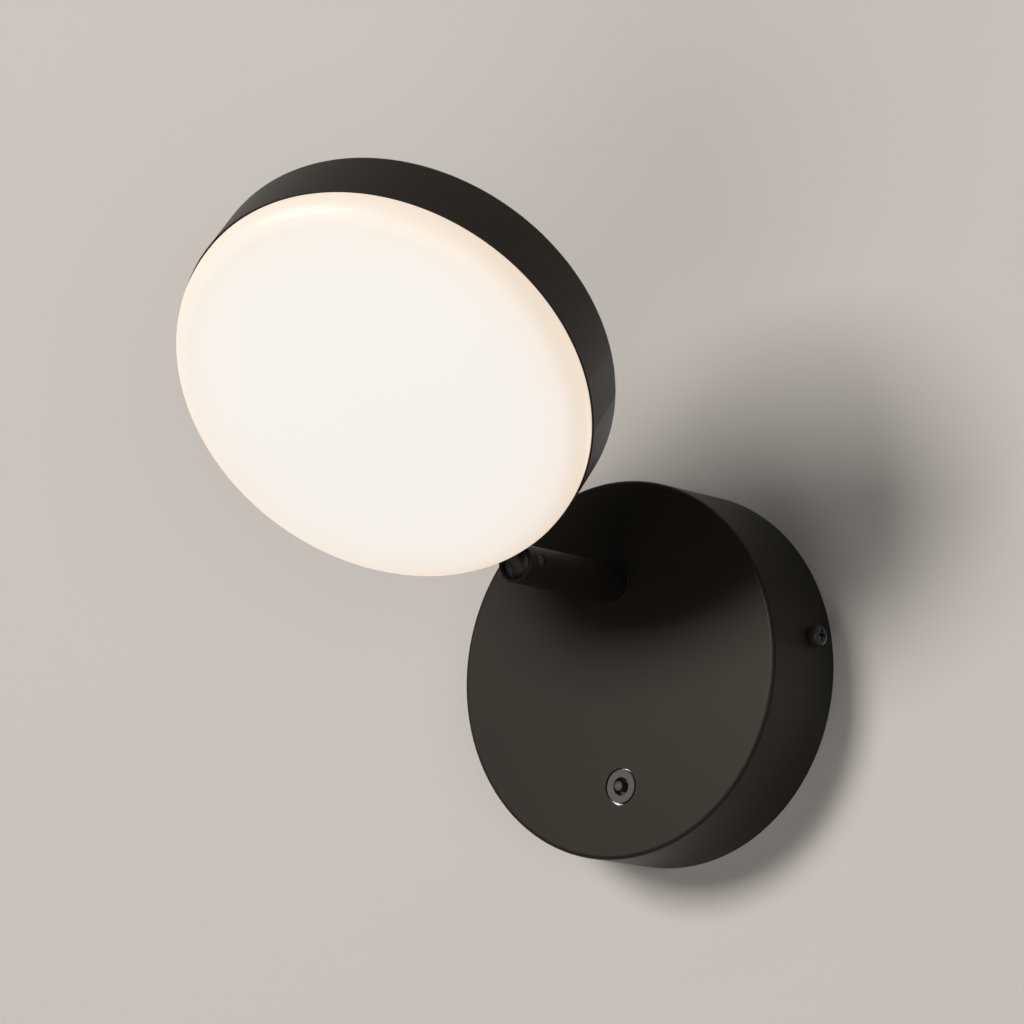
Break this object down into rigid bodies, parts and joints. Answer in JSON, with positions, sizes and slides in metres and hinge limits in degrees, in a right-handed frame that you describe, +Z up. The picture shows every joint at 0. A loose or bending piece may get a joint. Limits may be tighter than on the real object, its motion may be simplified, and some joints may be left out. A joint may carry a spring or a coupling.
{
  "type": "pivoting spotlight wall light",
  "caption": "Round black canopy on the wall with a push button, a straight swivelling arm, and a shallow round head with an opal front that tilts on the arm's slotted end.",
  "frame": {"origin": "centre of the canopy's rear edge, on the wall", "axes": "+Z up; the wall is the plane y = 0 and the room lies towards -Y; +X to the right of somebody who faces the wall"},
  "size_m": [0.1156, 0.1554, 0.1661],
  "materials": {
    "black_paint": "matt powder coat",
    "black_screw": "blackened steel",
    "steel": "zinc plated",
    "dark_steel": "blackened",
    "brass": "plain",
    "black_plastic": "moulded",
    "white_plastic": "moulded",
    "natural_plastic": "moulded",
    "nylon": "turned",
    "board_green": "solder mask",
    "board_white": "white solder mask on aluminium",
    "chip": "phosphor",
    "opal": "opal, lit from behind",
    "white_satin": "satin",
    "bezel": "dark satin",
    "lead_brown": "insulation",
    "lead_blue": "insulation",
    "lead_green": "insulation",
    "lead_white": "insulation"
  },
  "bodies": {
    "canopy": {"canopy_shell": "black_paint", "wall_bracket": "steel", "side_screws": "black_screw", "cable_bush": "black_plastic", "driver_base": "white_plastic", "driver_case": "white_plastic", "driver_board": "board_green", "driver_screws": "steel", "terminal_block": "natural_plastic", "terminal_sleeves": "brass", "terminal_screws": "steel", "terminal_fixing_screw": "steel", "earth_screw": "brass", "earth_eyelet": "brass", "switch_plate": "steel", "switch_bezel": "bezel", "switch_housing": "black_plastic", "switch_base": "black_plastic", "switch_tags": "brass", "switch_screws": "steel", "switch_spring": "steel", "swivel_bush": "nylon", "slip_washer": "nylon", "swivel_stop": "steel", "live_lead": "lead_brown", "switched_lead": "lead_brown", "neutral_lead": "lead_blue", "earth_lead": "lead_green", "output_lead": "lead_white"},
    "button": {"switch_button": "bezel"},
    "arm": {"arm_nipple": "steel", "stop_washer": "steel", "spring_washer": "steel", "arm_nut": "steel", "arm_tube": "black_paint", "fork_insert": "dark_steel", "hinge_pin": "dark_steel", "hinge_washers": "nylon", "arm_lead": "lead_white"},
    "head": {"head_shell": "black_paint", "hinge_tongue": "black_paint", "board_standoffs": "steel", "led_board": "board_white", "led_chips": "chip", "board_screws": "steel", "board_connector": "white_plastic", "reflector": "white_satin", "diffuser": "opal", "head_lead": "lead_white"}
  },
  "joints": [
    {"name": "arm_swivel", "type": "hinge", "parent": "canopy", "child": "arm", "pos_m": [0, -0.0275, 0.0228], "axis": [0, 1, 0], "range_deg": [-151.8, 168.2]},
    {"name": "head_tilt", "type": "hinge", "parent": "arm", "child": "head", "pos_m": [0, -0.0653, 0.0228], "axis": [0.9898, 0, 0.1426], "range_deg": [-42.6, 47.4]},
    {"name": "button_press", "type": "slide", "parent": "canopy", "child": "button", "axis": [0, 1, 0], "range_m": [0, 0.001], "stiffness_N_per_m": 400, "deforming": ["switch_spring"]}
  ]
}
